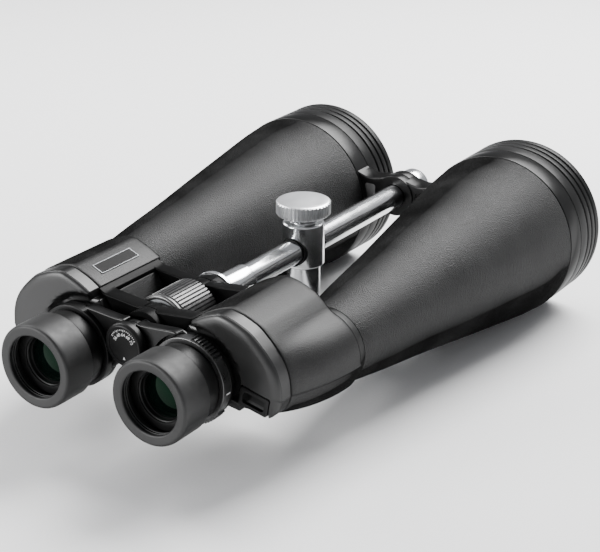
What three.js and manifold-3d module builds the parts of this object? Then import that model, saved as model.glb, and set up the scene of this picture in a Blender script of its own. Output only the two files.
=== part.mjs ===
// Large porro-prism binoculars with a folding centre hinge, a centre focus wheel, and a
// tripod post that slides on the bright centre rod. Millimetres, +Z up, +Y towards the objectives.
import * as THREE from 'three';
import { mergeVertices } from 'three/addons/utils/BufferGeometryUtils.js';
import Module from 'manifold-3d';

const wasm = await Module();
wasm.setup();

// ---- driving dimensions -------------------------------------------------------------------
// Everything is laid out from the hinge line: x = 0, z = 0, running along Y.
const HINGE_HEIGHT = 59.97;     // hinge line above the surface that the part stands on
const MID_LENGTH = 125.35;      // hinge-line y of the middle of the whole length
const GAP = 0.3;                // clearance between pieces that touch

const OBJECTIVE_X = 69.3;       // objective axis
const OBJECTIVE_Z = -11.3;
const OCULAR_X = 35;            // eyepiece axis, half of the 70 mm spacing
const OCULAR_Z = -10.5;
const OCULAR_TUBE_R = 12.6;     // eyepiece barrel that slides in the rear cover

const FRONT_RIM_Y = 286.9;
const RIM_R = 48.67;
const RING_Y = [247.3, 260.4];  // band of the front bridge
const CELL_Y = 260.7;           // objective cell, from here to the front rim
const HOUSING_Y = [10.8, 60];   // prism housing
const COLLAR_Y = 64.9;
const COVER_Y = [0.2, 10.5];    // rear cover, crest to seam
const REAR_RIM_Y = -36.2;       // rim of the eyecups

const ROD_R = 7;
const KNUCKLE_R = 12.5;
const POST_Y = 147.4;           // tripod post along the rod

const ROUND = { large: 28, middle: 24, small: 20, tiny: 12 };

// ---- materials ----------------------------------------------------------------------------
const finish = (color, roughness, metalness) => ({ color, roughness, metalness });
const ARMOUR = finish(0x3a3a3b, 0.75, 0);
const SATIN_BLACK = finish(0x1d1d1e, 0.42, 0.1);
const MATTE_BLACK = finish(0x121213, 0.6, 0.1);
const SOFT_RUBBER = finish(0x262627, 0.62, 0);
const BRIGHT = finish(0xd6d7d8, 0.22, 1);
const STEEL = finish(0x9a9ca0, 0.35, 1);
const BRASS = finish(0xb08d4a, 0.35, 1);
const LENS = finish(0x9fc4b4, 0.05, 0);
const PRISM = finish(0xdfe8e6, 0.05, 0);
const BRACKET = finish(0x50545a, 0.5, 0.8);

// ---- geometry helpers ---------------------------------------------------------------------
// Shares vertices, drops collapsed triangles and turns the faces outwards.
function closed(source) {
  const bare = source.clone();
  bare.deleteAttribute('normal');
  bare.deleteAttribute('uv');
  const merged = mergeVertices(bare, 1e-4);
  const at = merged.attributes.position;
  const [a, b, c] = [new THREE.Vector3(), new THREE.Vector3(), new THREE.Vector3()];
  const kept = [];
  let volume = 0;
  for (let i = 0; i < merged.index.count; i += 3) {
    const corner = [0, 1, 2].map((k) => merged.index.getX(i + k));
    if (new Set(corner).size < 3) continue;
    a.fromBufferAttribute(at, corner[0]);
    b.fromBufferAttribute(at, corner[1]);
    c.fromBufferAttribute(at, corner[2]);
    volume += a.dot(b.cross(c));
    kept.push(corner);
  }
  const index = kept.flatMap(([i, j, k]) => (volume < 0 ? [i, k, j] : [i, j, k]));
  const result = new THREE.BufferGeometry();
  result.setAttribute('position', at);
  result.setIndex(index);
  return result;
}

function asSolid(geometry) {
  return new wasm.Manifold(new wasm.Mesh({
    numProp: 3,
    vertProperties: Float32Array.from(geometry.attributes.position.array),
    triVerts: Uint32Array.from(geometry.index.array),
  }));
}

function asGeometry(solid) {
  const mesh = solid.getMesh();
  const geometry = new THREE.BufferGeometry();
  geometry.setAttribute('position', new THREE.BufferAttribute(new Float32Array(mesh.vertProperties), 3));
  geometry.setIndex(new THREE.BufferAttribute(new Uint32Array(mesh.triVerts), 1));
  return geometry;
}

const join = (...pieces) => asGeometry(pieces.map(asSolid).reduce((sum, piece) => sum.add(piece)));
const cut = (body, ...tools) => asGeometry(
  tools.map(asSolid).reduce((rest, tool) => rest.subtract(tool), asSolid(body)),
);
const common = (body, tool) => asGeometry(asSolid(body).intersect(asSolid(tool)));

// Turned about the Y direction. The profile is [radius, y] points, axis to axis or a closed ring.
function turned(profile, segments, x = 0, z = 0) {
  const points = profile.map(([radius, y]) => new THREE.Vector2(radius, y));
  return closed(new THREE.LatheGeometry(points, segments)).translate(x, 0, z);
}

// A washer-shaped ring or, with inner radius 0, a disc.
function ring(inner, outer, rear, front, segments, x = 0, z = 0) {
  const profile = [[inner, rear], [outer, rear], [outer, front], [inner, front]];
  return turned(inner > 0 ? [...profile, profile[0]] : profile, segments, x, z);
}

// Turned about a vertical axis through (0, POST_Y): [radius, z] points.
function upright(profile, segments) {
  const points = profile.map(([radius, z]) => new THREE.Vector2(radius, z));
  const lathe = closed(new THREE.LatheGeometry(points, segments));
  return closed(lathe.rotateX(Math.PI / 2)).translate(0, POST_Y, 0);
}

// An outline of [x, z] points carried along Y from rear to front.
function plate(outline, rear, front, options = {}) {
  const shape = new THREE.Shape(outline.map(([x, z]) => new THREE.Vector2(x, z)));
  const extruded = new THREE.ExtrudeGeometry(shape, { depth: front - rear, bevelEnabled: false, ...options });
  return closed(extruded.rotateX(Math.PI / 2).translate(0, front, 0));
}

function block([x0, y0, z0], [x1, y1, z1]) {
  const box = new THREE.BoxGeometry(x1 - x0, y1 - y0, z1 - z0);
  return closed(box.translate((x0 + x1) / 2, (y0 + y1) / 2, (z0 + z1) / 2));
}

const mirrored = (geometry) => closed(geometry.clone().scale(-1, 1, 1));

// Points on an arc about (x, z), from one angle in degrees to another.
function arc(x, z, radius, from, to, count) {
  return Array.from({ length: count }, (_, i) => {
    const angle = THREE.MathUtils.degToRad(from + ((to - from) * i) / (count - 1));
    return [x + radius * Math.cos(angle), z + radius * Math.sin(angle)];
  });
}

// ---- assembly -----------------------------------------------------------------------------
const binoculars = new THREE.Group();
const hingeLine = new THREE.Group();
hingeLine.position.set(0, -MID_LENGTH, HINGE_HEIGHT);
binoculars.add(hingeLine);

function piece(name, geometry, look) {
  const faceted = geometry.clone();
  faceted.computeVertexNormals();
  const mesh = new THREE.Mesh(faceted, new THREE.MeshStandardMaterial(look));
  mesh.name = name;
  hingeLine.add(mesh);
}

// The right-hand piece as drawn, and the left-hand one as its mirror image.
function pair(name, geometry, look) {
  piece(`right_${name}`, geometry, look);
  piece(`left_${name}`, mirrored(geometry), look);
}

// ---- objective barrels --------------------------------------------------------------------
function barrelGeometry() {
  const wall = 2.2;
  const outer = [[20.9, COLLAR_Y + GAP], [26.4, 100], [30.6, 130], [35.4, 160], [42.5, 205],
    [46.6, 232], [48.2, RING_Y[0] - GAP]];
  const inner = [outer[6], outer[4], outer[3], outer[1], outer[0]].map(([r, y]) => [r - wall, y]);
  return turned([...outer, ...inner, outer[0]], ROUND.large, OBJECTIVE_X, OBJECTIVE_Z);
}

// Front cell with three grip grooves, a lens seat and a wider bore for the retaining ring.
function cellGeometry() {
  const grooves = [270, 275.6, 280.6].flatMap((y) => [[48.5, y - 0.7], [47.5, y], [48.5, y + 0.7]]);
  const profile = [[39.6, CELL_Y], [48.4, CELL_Y], ...grooves, [RIM_R, FRONT_RIM_Y - 1.5],
    [RIM_R - 1.3, FRONT_RIM_Y], [44.6, FRONT_RIM_Y], [43.5, 274.2], [41.9, 274.2], [41.9, 264], [39.6, 264]];
  return turned([...profile, profile[0]], ROUND.large, OBJECTIVE_X, OBJECTIVE_Z);
}

function objectiveLensGeometry() {
  const profile = [[0, 265.6], [22, 265.2], [41.5, 264.3], [41.5, 273.9], [31, 275.9], [16, 277.4], [0, 277.9]];
  return turned(profile, ROUND.large, OBJECTIVE_X, OBJECTIVE_Z);
}

// Band around the barrel mouth with an arm to a knuckle on the centre rod.
function frontBridgeGeometry(knuckleRear, knuckleFront, otherRear, otherFront) {
  const band = ring(44.6, 48.4, RING_Y[0], RING_Y[1], ROUND.large, OBJECTIVE_X, OBJECTIVE_Z);
  const armOutline = [[2, 12.3], [10, 9.5], [17, 8.2], [24, 9.6], [30, 13], [34, 12], [26, -26], [21, -24],
    [14, -11], [6, -10.6]];
  const arm = plate(armOutline, 248.4, 261.4);
  const window = plate([[13.6, 4.6], [21, 4.6], [18.6, -8], [14.4, -6.5]], 240, 270);
  const mouth = ring(0, 46.6, 240, 270, ROUND.large, OBJECTIVE_X, OBJECTIVE_Z);
  const cellRoom = ring(0, 49.1, RING_Y[1], 270, ROUND.large, OBJECTIVE_X, OBJECTIVE_Z);
  const otherKnuckle = ring(0, KNUCKLE_R + GAP, otherRear - GAP, otherFront + GAP, ROUND.small);
  const knuckle = ring(0, KNUCKLE_R, knuckleRear, knuckleFront, ROUND.small);
  const bore = ring(0, ROD_R + GAP, 240, 270, ROUND.small);
  const web = cut(common(arm, block([-20, 247.3, -40], [60, 261.4, 40])), window, mouth, cellRoom, otherKnuckle);
  return cut(join(band, web, knuckle), bore);
}

pair('barrel', barrelGeometry(), ARMOUR);
pair('objective_cell', cellGeometry(), SATIN_BLACK);
pair('objective_lens', objectiveLensGeometry(), LENS);
pair('lens_retainer', ring(40, 43.2, 274.8, 277.6, ROUND.large, OBJECTIVE_X, OBJECTIVE_Z), MATTE_BLACK);

const FRONT_KNUCKLES = { left: [247.6, 254.2], right: [254.5, 261.1] };
piece('right_front_bridge', frontBridgeGeometry(...FRONT_KNUCKLES.right, ...FRONT_KNUCKLES.left), MATTE_BLACK);
piece('left_front_bridge', mirrored(frontBridgeGeometry(...FRONT_KNUCKLES.left, ...FRONT_KNUCKLES.right)),
  MATTE_BLACK);

// ---- prism housings -----------------------------------------------------------------------
// The lower and outer sides follow a circle about the objective axis that grows towards the barrel.
const FRONT_CIRCLE = 22.7;
const REAR_CIRCLE = 14;
const circleRadius = (y) => FRONT_CIRCLE
  - (FRONT_CIRCLE - REAR_CIRCLE) * Math.max(0, (HOUSING_Y[1] - y) / (HOUSING_Y[1] - HOUSING_Y[0])) ** 1.9;

// Straight sides of the housing above the circle, from the hinge side to the outer shoulder.
const TOP_SIDE = [[27, 12], [31.1, 12], [31.1, 16.4], [36.8, 19.9], [43.4, 22.7], [48.1, 24.3],
  [55, 23.2], [61.5, 20.7], [66, 18.6], [70.5, 14.6]];
const INNER_SIDE = [[45, -35], [34, -34.6], [26.5, -32], [20.8, -26], [18, -18], [17.6, -9], [19.4, -1.5],
  [22.4, 4]];

// Section of the housing at one y. It shrinks about its middle by the given inset.
function housingSection(y, inset = 0) {
  const radius = circleRadius(y);
  const lower = radius / FRONT_CIRCLE;
  const outer = Array.from({ length: 11 }, (_, i) => {
    const angle = 78 - 168 * (i / 10);
    const straight = 13.9 + 9 * (Math.max(0, angle + 3) / 81) ** 2.1;
    const grown = (radius - REAR_CIRCLE) / (FRONT_CIRCLE - REAR_CIRCLE);
    const reach = angle > -3 ? straight + (FRONT_CIRCLE - straight) * grown : radius;
    const turn = THREE.MathUtils.degToRad(angle);
    return [OBJECTIVE_X + reach * Math.cos(turn), OBJECTIVE_Z + reach * Math.sin(turn)];
  });
  const inner = INNER_SIDE.map(([x, z]) => [x, z < OBJECTIVE_Z ? OBJECTIVE_Z + (z - OBJECTIVE_Z) * lower : z]);
  const [midX, midZ] = [52, -4];
  const shrink = (value, middle, half) => middle + (value - middle) * (1 - inset / half);
  return [...TOP_SIDE, ...outer, ...inner].map(([x, z]) => [shrink(x, midX, 31), shrink(z, midZ, 25)]);
}

// Extrudes the front section, then moves each step's points onto the section at its own y.
function housingShell(rear, front, steps) {
  const outline = housingSection(front);
  const body = plate(outline, rear, front, { steps });
  const at = body.attributes.position;
  for (let i = 0; i < at.count; i += 1) {
    const nearest = outline.findIndex(([x, z]) => Math.hypot(x - at.getX(i), z - at.getZ(i)) < 1e-3);
    const [x, z] = housingSection(at.getY(i))[nearest];
    at.setXYZ(i, x, at.getY(i), z);
  }
  return body;
}

// Room for the prisms, clear of the wall all round.
const PRISM_ROOM = [[29, 6.2], [35.3, 6.2], [35.3, 16], [38, 18], [48.3, 21.8], [55, 20.8], [61, 18.4],
  [69, 12.6], [74.5, 4.5], [79.6, -5.5], [80.4, -12], [78, -19], [73, -22.8], [45, -22.4], [34, -21.4],
  [25, -18.2], [21.6, -14.4], [20.6, -9.6], [22.6, -1.8], [25.4, 3.4]];
const smallerRoom = (margin) => PRISM_ROOM.map(([x, z]) => [
  52 + (x - 52) * (1 - margin / 26), -3 + (z + 3) * (1 - margin / 20)]);

function housingGeometry() {
  const collar = ring(0, 20.9, HOUSING_Y[1] - 1, COLLAR_Y, ROUND.large, OBJECTIVE_X, OBJECTIVE_Z);
  const throat = ring(0, 18.6, HOUSING_Y[1] - 4, COLLAR_Y + 1, ROUND.middle, OBJECTIVE_X, OBJECTIVE_Z);
  const room = plate(PRISM_ROOM, HOUSING_Y[0] - 1, HOUSING_Y[1] - 2.2);
  const tubeRoom = ring(0, OCULAR_TUBE_R + GAP, 5, 16.6, ROUND.middle, OCULAR_X, OCULAR_Z);
  return cut(join(housingShell(HOUSING_Y[0], HOUSING_Y[1], 4), collar), room, throat, tubeRoom);
}

// Strap lug: a small frame let into the lower outer corner of the rear cover. A strap goes in at
// the rear slot, round the lug's lower bar, and out underneath.
const LUG = { x: 68.4, z: -15.6, tilt: THREE.MathUtils.degToRad(12), half: 8.2, rise: 4.9, rear: 0, front: 8.2 };

function inLugFrame(geometry) {
  return closed(geometry.rotateY(LUG.tilt).translate(LUG.x, 0, LUG.z));
}

const lugOuter = (grow, drop) => inLugFrame(block(
  [-LUG.half - grow, LUG.rear - 2 * grow, -LUG.rise - drop],
  [LUG.half + grow, LUG.front + grow, LUG.rise + grow]));
const lugSlot = () => inLugFrame(block([-6.2, -3, -3], [6.2, 6.8, 3]));
const lugExit = () => inLugFrame(block([-6.2, 1.9, -20], [6.2, 6.8, 0]));


function coverGeometry() {
  const bevel = { bevelEnabled: true, bevelThickness: 1.8, bevelSize: 1.2, bevelOffset: -1.2, bevelSegments: 2 };
  const body = plate(housingSection(HOUSING_Y[0], 0.4), 2, 16, bevel);
  const kept = common(body, block([0, -5, -60], [120, COVER_Y[1], 60]));
  const dish = ring(0, 24.5, -5, 5, ROUND.middle, OCULAR_X, OCULAR_Z);
  const tubeHole = ring(0, OCULAR_TUBE_R + GAP, -5, 20, ROUND.middle, OCULAR_X, OCULAR_Z);
  const room = plate(smallerRoom(1), 7.2, 20);
  const lugWall = lugOuter(2.2, 12);
  const behind = block([-200, 3.8, -200], [200, COVER_Y[1], 200]);
  const lugBacking = common(common(lugWall, behind), plate(housingSection(HOUSING_Y[0], 1), -5, COVER_Y[1]));
  const shell = cut(kept, dish, room);
  return cut(join(shell, lugBacking), tubeHole, lugOuter(GAP, GAP), lugExit());
}

function lugGeometry() {
  return cut(lugOuter(0, 0), lugSlot(), lugExit());
}

pair('prism_housing', housingGeometry(), ARMOUR);
pair('rear_cover', coverGeometry(), SATIN_BLACK);
pair('strap_lug', lugGeometry(), SATIN_BLACK);

// ---- prisms and their shelf ---------------------------------------------------------------
// Light is turned back by the rear prism, passes through the shelf and is turned back again by
// the front prism, which moves it sideways from the objective axis to the eyepiece axis.
const SHELF_Y = [34.4, 36.2];

function prismGeometry(x, z, length, width, faceY, apexY, turn) {
  const triangle = new THREE.Shape([[-length / 2, faceY], [length / 2, faceY], [0, apexY]]
    .map(([s, y]) => new THREE.Vector2(s, y)));
  const prism = new THREE.ExtrudeGeometry(triangle, { depth: width, bevelEnabled: false });
  prism.translate(0, 0, -width / 2).rotateY(THREE.MathUtils.degToRad(turn));
  return closed(prism.translate(x, 0, z));
}

function shelfGeometry() {
  const sheet = plate(smallerRoom(0.5), ...SHELF_Y);
  const windows = [[66.5, -8.5, 6.5], [52.4, 4.6, 6.5], [36.8, -9, 6.5]]
    .map(([x, z, r]) => ring(0, r, 30, 40, ROUND.tiny, x, z));
  return cut(sheet, ...windows);
}

pair('rear_prism', prismGeometry(60.7, -2.7, 38, 16, SHELF_Y[0] - GAP, 15.4, 45), PRISM);
pair('front_prism', prismGeometry(43.6, -2.3, 38, 16.4, SHELF_Y[1] + GAP, 55.2, -45), PRISM);
pair('prism_shelf', shelfGeometry(), BRACKET);

// ---- folding hinge ------------------------------------------------------------------------
const REAR_KNUCKLES = { left: [4.6, 11.2], right: [11.5, 17.9] };
const MID_KNUCKLES = { left: [49.2, 55.6], right: [55.9, 62.4] };

// Arms at both ends of a rail let into the housing's inner edge, around a window for the focus wheel.
function hingeFrameGeometry(rear, otherRear, middle, otherMiddle) {
  const armOutline = [[2, 12.2], [7, 12], [27.3, 14.1], [30.8, 16.1], [30.8, 12.3], [26.8, 12.3],
    [20.8, 4], [17.4, -3], [12.6, -7], [3, -11.6]];
  const rail = plate([[27.3, 12.3], [30.8, 12.3], [30.8, 16.1], [27.3, 14.1]], 9, 57);
  const arms = [[9, 18], [49.2, 57]].map(([y0, y1]) => plate(armOutline, y0, y1));
  const hub = (y, grow) => ring(0, KNUCKLE_R + grow, y[0] - grow, y[1] + grow, ROUND.small);
  const body = cut(join(rail, ...arms), hub(otherRear, GAP), hub(otherMiddle, GAP));
  const bores = [ring(0, 7.3, 0, 30, ROUND.small), ring(0, 7.3, 40, 70, ROUND.small)];
  const mouth = ring(0, 9.6, 0, 7.4, ROUND.small);
  return cut(join(body, hub(rear, 0), hub(middle, 0)), ...bores, mouth);
}

piece('right_hinge_frame', hingeFrameGeometry(
  REAR_KNUCKLES.right, REAR_KNUCKLES.left, MID_KNUCKLES.right, MID_KNUCKLES.left), MATTE_BLACK);
piece('left_hinge_frame', mirrored(hingeFrameGeometry(
  REAR_KNUCKLES.left, REAR_KNUCKLES.right, MID_KNUCKLES.left, MID_KNUCKLES.right)), MATTE_BLACK);

function rodGeometry() {
  return turned([[0, 56.8], [3.9, 56.8], [3.9, 49.2], [ROD_R, 49.2], [ROD_R, 65.8], [8.3, 65.8], [8.3, 90],
    [ROD_R, 91], [ROD_R, 268.3], [0, 268.3]], ROUND.small);
}

function endCapGeometry() {
  return turned([[0, 268.8], [7.3, 268.8], [7.3, 262.6], [10.8, 262.6], [10.8, 271.4], [9.6, 274.6],
    [6.4, 276.6], [0, 277.4]], ROUND.small);
}

piece('center_rod', rodGeometry(), BRIGHT);
piece('hinge_shaft', ring(0, 3.6, -3, 56.4, ROUND.tiny), STEEL);
piece('hinge_bushing', ring(6, 7, 8.2, 18.2, ROUND.small), STEEL);
piece('rod_washer', ring(ROD_R + GAP, 13, 62.9, 65.4, ROUND.small), BRIGHT);
piece('rod_end_cap', endCapGeometry(), BRIGHT);

// ---- centre focus -------------------------------------------------------------------------
function gripGeometry() {
  const ribs = 24;
  const outline = Array.from({ length: ribs }, (_, i) => i).flatMap((i) => {
    const start = (i * 360) / ribs;
    return [...arc(0, 0, 15.5, start, start + 7.5, 2), ...arc(0, 0, 14.6, start + 9, start + 13.5, 2)];
  });
  const ribbed = plate(outline, 22, 46.5);
  const lip = ring(0, 15.5, 19.2, 22.2, ROUND.small);
  return cut(join(ribbed, lip), ring(0, 13.5, 10, 60, ROUND.small));
}

piece('focus_wheel', ring(5.9, 13.2, 19.4, 46.3, ROUND.small), BRACKET);
piece('focus_wheel_grip', gripGeometry(), SOFT_RUBBER);
piece('focus_tube', ring(3.9, 5.6, -6.2, 42, ROUND.small), STEEL);

function hubCapGeometry() {
  return turned([[0, -10.2], [8.7, -10.2], [8.9, -10.9], [10.2, -11], [11.4, -9.6], [11.4, -5.8],
    [5.9, -5.8], [5.9, -6.6], [0, -6.6]], ROUND.small);
}
piece('hinge_cap', hubCapGeometry(), SATIN_BLACK);

// ---- eyepiece bridge ----------------------------------------------------------------------
const ARM_Y = [-5.2, 0.8];
const HUBS = { left: [-5.2, -2.4], right: [-2.1, 0.6] };
const HUB_R = 10;
const FLANGE_Y = [-0.6, 2.2];

function bridgeArmGeometry(hub, otherHub) {
  const outline = [[3.4, 10.9], [8, 10.5], [19, 11.4], [28, 12.2], [35, 8], [30, -20], [22.5, -24.6],
    [14.5, -18.6], [5.5, -11.5]];
  const arm = plate(outline, ...ARM_Y);
  const flange = ring(0, 21.4, ...FLANGE_Y, ROUND.middle, OCULAR_X, OCULAR_Z);
  const diopterRoom = ring(0, 23.1, -9, FLANGE_Y[0], ROUND.middle, OCULAR_X, OCULAR_Z);
  const ocularHole = ring(0, 18.9, -9, 9, ROUND.middle, OCULAR_X, OCULAR_Z);
  const otherRoom = ring(0, HUB_R + GAP, otherHub[0] - GAP, otherHub[1] + GAP, ROUND.small);
  const hubDisc = ring(0, HUB_R, ...hub, ROUND.small);
  const tubeHole = ring(0, 5.9, -9, 9, ROUND.small);
  return cut(join(cut(arm, diopterRoom, otherRoom), flange, hubDisc), ocularHole, tubeHole);
}

piece('right_bridge_arm', bridgeArmGeometry(HUBS.right, HUBS.left), MATTE_BLACK);
piece('left_bridge_arm', mirrored(bridgeArmGeometry(HUBS.left, HUBS.right)), MATTE_BLACK);

// ---- eyepieces ----------------------------------------------------------------------------
function ocularGeometry() {
  const profile = [[12.2, -27.2], [17.2, -27.2], [17.2, -15.6], [19.6, -15.6], [19.6, -8.1], [18.5, -8.1],
    [18.5, 1.6], [OCULAR_TUBE_R, 1.6], [OCULAR_TUBE_R, 13.6], [11.2, 13.6], [11.2, 11.6], [9.6, 11.6],
    [9.6, -20.4], [12.2, -20.4]];
  return turned([...profile, profile[0]], ROUND.middle, OCULAR_X, OCULAR_Z);
}

// The cup has a crowned rim, a stepped mouth and a skirt over the cam ring.
function eyecupGeometry() {
  const profile = [[19.5, -17.6], [19.5, -27.8], [16.6, -27.8], [16.6, -31.2], [15.6, -35.3],
    [18.6, REAR_RIM_Y], [20.6, -35.6], [21.8, -33.4], [21.8, -17.6]];
  return turned([...profile, profile[0]], ROUND.middle, OCULAR_X, OCULAR_Z);
}

const EYE_LENS = [[0, -25.2], [7, -24.9], [11.9, -23.4], [11.9, -20.8], [0, -20.8]];
const FIELD_LENS = [[0, 11.9], [10.9, 11.9], [10.9, 12.8], [6, 14.2], [0, 14.7]];

pair('ocular_body', ocularGeometry(), SATIN_BLACK);
pair('eye_lens', turned(EYE_LENS, ROUND.small, OCULAR_X, OCULAR_Z), LENS);
pair('field_lens', turned(FIELD_LENS, ROUND.small, OCULAR_X, OCULAR_Z), LENS);
pair('cup_cam_ring', ring(17.5, 19.2, -25.6, -15.9, ROUND.middle, OCULAR_X, OCULAR_Z), MATTE_BLACK);
pair('eyecup', eyecupGeometry(), SOFT_RUBBER);

// Dioptre ring with three raised pads on the right eyepiece; a plain ring on the left one.
const DIOPTRE_Y = [-6.6, -0.9];

function dioptreGeometry() {
  const pads = [62, 182, 302].map((middle) => plate([
    ...arc(OCULAR_X, OCULAR_Z, 22.6, middle - 23, middle + 23, 8),
    ...arc(OCULAR_X, OCULAR_Z, 20, middle + 23, middle - 23, 4)], -6.2, -1.2));
  const plain = ring(0, 21.5, ...DIOPTRE_Y, ROUND.middle, OCULAR_X, OCULAR_Z);
  return cut(join(plain, ...pads), ring(0, 18.9, -9, 9, ROUND.middle, OCULAR_X, OCULAR_Z));
}

piece('dioptre_ring', dioptreGeometry(), SATIN_BLACK);
piece('left_ocular_ring', mirrored(ring(18.9, 21.5, ...DIOPTRE_Y, ROUND.middle, OCULAR_X, OCULAR_Z)),
  SATIN_BLACK);

// ---- tripod post --------------------------------------------------------------------------
const STEM_R = 9.4;
const SOCKET_R = 3.18;          // 1/4-20 tripod thread, major diameter 6.35 mm

function sleeveGeometry() {
  const body = upright([[0, -9.6], [11.7, -9.6], [11.7, 14.6], [11.1, 15.2], [7.5, 15.2], [7.5, 18.8],
    [0, 18.8]], ROUND.small);
  const rodBore = ring(0, 8.3, POST_Y - 20, POST_Y + 20, ROUND.small);
  const pocket = upright([[0, 4], [4.8, 4], [4.8, 13.4], [3.3, 13.4], [3.3, 20], [0, 20]], ROUND.tiny);
  return cut(body, rodBore, pocket);
}

function stemGeometry() {
  return upright([[0, -46], [5.3, -46], [5.3, -HINGE_HEIGHT], [STEM_R, -HINGE_HEIGHT], [STEM_R, -9.9],
    [0, -9.9]], ROUND.small);
}

function insertGeometry() {
  const foot = -HINGE_HEIGHT + GAP;
  return upright([[SOCKET_R, foot], [5, foot], [5, -46.4], [SOCKET_R, -46.4], [SOCKET_R, foot]], ROUND.tiny);
}

function knobGeometry() {
  const ribs = 20;
  const outline = Array.from({ length: ribs }, (_, i) => i).flatMap((i) => {
    const start = (i * 360) / ribs;
    return [arc(0, 0, 15.2, start, start + 10, 2), arc(0, 0, 14.4, start + 12, start + 16, 2)].flat();
  });
  const shape = new THREE.Shape(outline.map(([x, y]) => new THREE.Vector2(x, y)));
  const ribbed = new THREE.ExtrudeGeometry(shape, { depth: 8.7, bevelEnabled: false });
  const body = closed(ribbed.translate(0, POST_Y, 19.1));
  const crowned = upright([[0, 19.1], [13.8, 19.1], [15.2, 20.2], [15.2, 26.4], [13.4, 27.4], [0, 27.8]],
    ROUND.small);
  return cut(common(body, crowned), upright([[0, 18], [3.3, 18], [3.3, 22.4], [0, 22.4]], ROUND.tiny));
}

piece('post_bush', ring(ROD_R + GAP, 8, POST_Y - 10.5, POST_Y + 10.5, ROUND.small), MATTE_BLACK);
piece('post_sleeve', sleeveGeometry(), BRIGHT);
piece('post_stem', stemGeometry(), BRIGHT);
piece('tripod_insert', insertGeometry(), BRASS);
piece('clamp_knob', knobGeometry(), BRIGHT);
piece('clamp_screw', upright([[0, 11.3], [3, 11.3], [3, 22.1], [0, 22.1]], ROUND.tiny), STEEL);
piece('clamp_shoe', upright([[0, 8.4], [4.5, 8.4], [4.5, 11], [0, 11]], ROUND.tiny), BRASS);

export default binoculars;
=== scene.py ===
"""Looks of the folding porro-prism binoculars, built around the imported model's frame.

Shapes are drawn in millimetres in the hinge frame: x = 0 and z = 0 on the hinge line, +Y towards
the objectives, +X to the user's right, +Z up. piece() moves them into the frame of the row.
"""
import math

import bmesh
import bpy
from mathutils import Matrix, Vector


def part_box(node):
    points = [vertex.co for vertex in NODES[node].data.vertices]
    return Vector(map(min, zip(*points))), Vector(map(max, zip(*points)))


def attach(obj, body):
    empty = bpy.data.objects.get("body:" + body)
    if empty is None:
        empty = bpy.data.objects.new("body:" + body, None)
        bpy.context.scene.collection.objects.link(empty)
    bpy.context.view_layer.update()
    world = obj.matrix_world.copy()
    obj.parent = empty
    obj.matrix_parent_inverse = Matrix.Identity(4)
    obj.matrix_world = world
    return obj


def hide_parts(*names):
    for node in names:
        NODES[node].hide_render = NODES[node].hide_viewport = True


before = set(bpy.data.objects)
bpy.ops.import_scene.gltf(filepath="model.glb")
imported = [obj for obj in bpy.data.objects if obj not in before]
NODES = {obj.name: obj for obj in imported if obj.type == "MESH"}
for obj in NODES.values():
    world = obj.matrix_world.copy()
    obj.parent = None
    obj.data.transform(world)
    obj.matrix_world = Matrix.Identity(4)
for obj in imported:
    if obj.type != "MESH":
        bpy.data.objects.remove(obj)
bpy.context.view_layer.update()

# ---- layout, as in the CAD ------------------------------------------------------------------
MM = 0.001
REAR_RIM_Y = -36.2
FOOT_Z = -59.97
ORIGIN = Vector((0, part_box("right_eyecup")[0].y - REAR_RIM_Y * MM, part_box("post_stem")[0].z - FOOT_Z * MM))

OBJECTIVE = (69.3, -11.3)       # x, z of the objective axis
OCULAR = (35.0, -10.5)          # x, z of the eyepiece axis
HINGE = (0.0, 0.0)
FRONT_RIM_Y = 286.9
RIM_R = 48.67
RING_Y = (247.3, 260.4)         # band of the front bridge
CELL_Y = 260.7
HOUSING_Y = (10.8, 60.0)
COLLAR_Y = 64.9
COVER_Y = (0.2, 10.5)
ROD_R = 7.0
KNUCKLE_R = 12.5
POST_Y = 147.4
GAP = 0.3
SIDES = (("right", 1), ("left", -1))


# ---- outlines and profiles ------------------------------------------------------------------
def blend(a, b, t):
    return a + (b - a) * t


def smoothstep(t):
    t = min(1.0, max(0.0, t))
    return t * t * (3 - 2 * t)


def rounded(points, radius=0.35, steps=3, closed=True):
    """Cuts each corner of a polyline to a small curve. A point's third value is its own radius."""
    count = len(points)
    result = []
    for i, point in enumerate(points):
        here = Vector(point[:2])
        if not closed and i in (0, count - 1):
            result.append(tuple(here))
            continue
        before = Vector(points[i - 1][:2])
        after = Vector(points[(i + 1) % count][:2])
        size = point[2] if len(point) > 2 else radius
        reach = min(size, 0.49 * (before - here).length, 0.49 * (after - here).length)
        if reach < 1e-4:
            result.append(tuple(here))
            continue
        start = here + (before - here).normalized() * reach
        end = here + (after - here).normalized() * reach
        for k in range(steps + 1):
            t = k / steps
            result.append(tuple(start * (1 - t) ** 2 + here * 2 * t * (1 - t) + end * t * t))
    return result


def spline(points, per_span=5):
    """Points on a smooth curve through the given ones."""
    vectors = [Vector(p[:2]) for p in points]
    ends = [vectors[0] * 2 - vectors[1], *vectors, vectors[-1] * 2 - vectors[-2]]
    result = []
    for a, b, c, d in zip(ends, ends[1:], ends[2:], ends[3:]):
        for k in range(per_span):
            t = k / per_span
            result.append(tuple(0.5 * (b * 2 + (c - a) * t + (a * 2 - b * 5 + c * 4 - d) * t * t
                                       + (b * 3 - a - c * 3 + d) * t ** 3)))
    return [*result, tuple(vectors[-1])]


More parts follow.
